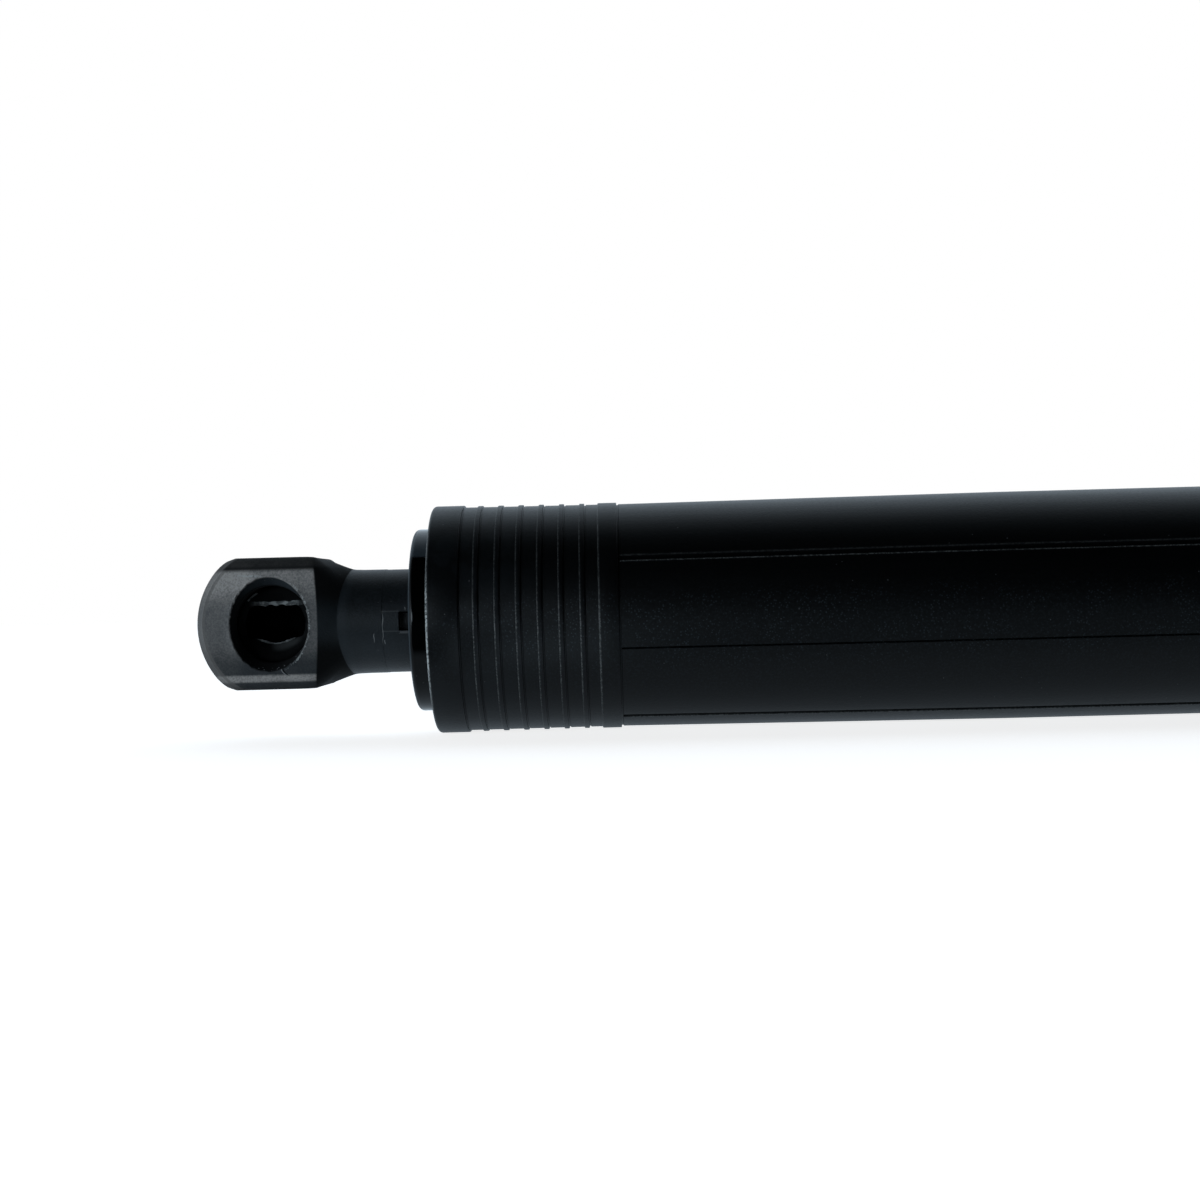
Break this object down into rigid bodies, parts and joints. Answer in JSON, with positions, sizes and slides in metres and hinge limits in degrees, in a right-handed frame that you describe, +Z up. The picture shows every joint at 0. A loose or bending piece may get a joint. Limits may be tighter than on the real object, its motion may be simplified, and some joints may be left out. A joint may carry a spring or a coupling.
{
  "type": "power liftgate strut",
  "caption": "Closed telescopic spindle strut: black ball-socket head, gloss inner tube, ribbed collar and long matt sleeve, with its spring, screw drive and motor inside.",
  "frame": {"origin": "centre of the rod end's ball, on the strut's own axis", "axes": "+X along the strut from the rod end to the motor end, +Z up, and both socket mouths open towards -Y"},
  "size_m": [0.523, 0.0368, 0.0368],
  "materials": {
    "socket_plastic": "glass-filled nylon, satin black",
    "cup_plastic": "acetal, black",
    "black_chrome": "gloss black",
    "sleeve_plastic": "fine grained black",
    "tube_metal": "black anodised",
    "bare_steel": "turned, oiled",
    "spring_steel": "phosphated",
    "nut_bronze": "machined",
    "gear_plastic": "natural acetal",
    "motor_metal": "zinc plated",
    "board": "solder resist",
    "gland_rubber": "matt"
  },
  "bodies": {
    "rod": {"rod_ball_socket": "socket_plastic", "rod_ball_cup": "cup_plastic", "inner_tube": "black_chrome", "rod_tube": "bare_steel", "spindle_nut": "nut_bronze"},
    "housing": {"cover_sleeve": "sleeve_plastic", "housing_tube": "tube_metal", "guide_housing": "gear_plastic", "main_spring": "spring_steel", "spindle_bearing": "bare_steel", "motor": "motor_metal", "sensor_board": "board", "cable_gland": "gland_rubber", "housing_ball_socket": "socket_plastic", "housing_ball_cup": "cup_plastic"},
    "spindle": {"spindle": "bare_steel", "planet_carrier": "bare_steel"},
    "motor_shaft": {"motor_shaft": "bare_steel"},
    "planet_a": {"planet_gear_a": "gear_plastic"},
    "planet_b": {"planet_gear_b": "gear_plastic"},
    "planet_c": {"planet_gear_c": "gear_plastic"}
  },
  "joints": [
    {"name": "extend", "type": "slide", "parent": "rod", "child": "housing", "axis": [1, 0, 0], "range_m": [0, 0.23], "deforming": ["main_spring"]},
    {"name": "spindle_turn", "type": "hinge", "parent": "housing", "child": "spindle", "pos_m": [0, 0, 0], "axis": [1, 0, 0], "range_deg": [0, 6900]},
    {"name": "motor_turn", "type": "hinge", "parent": "housing", "child": "motor_shaft", "pos_m": [0, 0, 0], "axis": [1, 0, 0], "range_deg": [0, 27600]},
    {"name": "planet_a_turn", "type": "hinge", "parent": "spindle", "child": "planet_a", "pos_m": [0.3381, 0, 0.009], "axis": [1, 0, 0], "range_deg": [-20700, 0]},
    {"name": "planet_b_turn", "type": "hinge", "parent": "spindle", "child": "planet_b", "pos_m": [0.3381, -0.00779, -0.0045], "axis": [1, 0, 0], "range_deg": [-20700, 0]},
    {"name": "planet_c_turn", "type": "hinge", "parent": "spindle", "child": "planet_c", "pos_m": [0.3381, 0.00779, -0.0045], "axis": [1, 0, 0], "range_deg": [-20700, 0]}
  ],
  "couplings": [
    {"joint": "spindle_turn", "follows": "extend", "rad_per_m": 523.6},
    {"joint": "motor_turn", "follows": "extend", "rad_per_m": 2094.4},
    {"joint": "planet_a_turn", "follows": "extend", "rad_per_m": -1570.8},
    {"joint": "planet_b_turn", "follows": "extend", "rad_per_m": -1570.8},
    {"joint": "planet_c_turn", "follows": "extend", "rad_per_m": -1570.8}
  ]
}
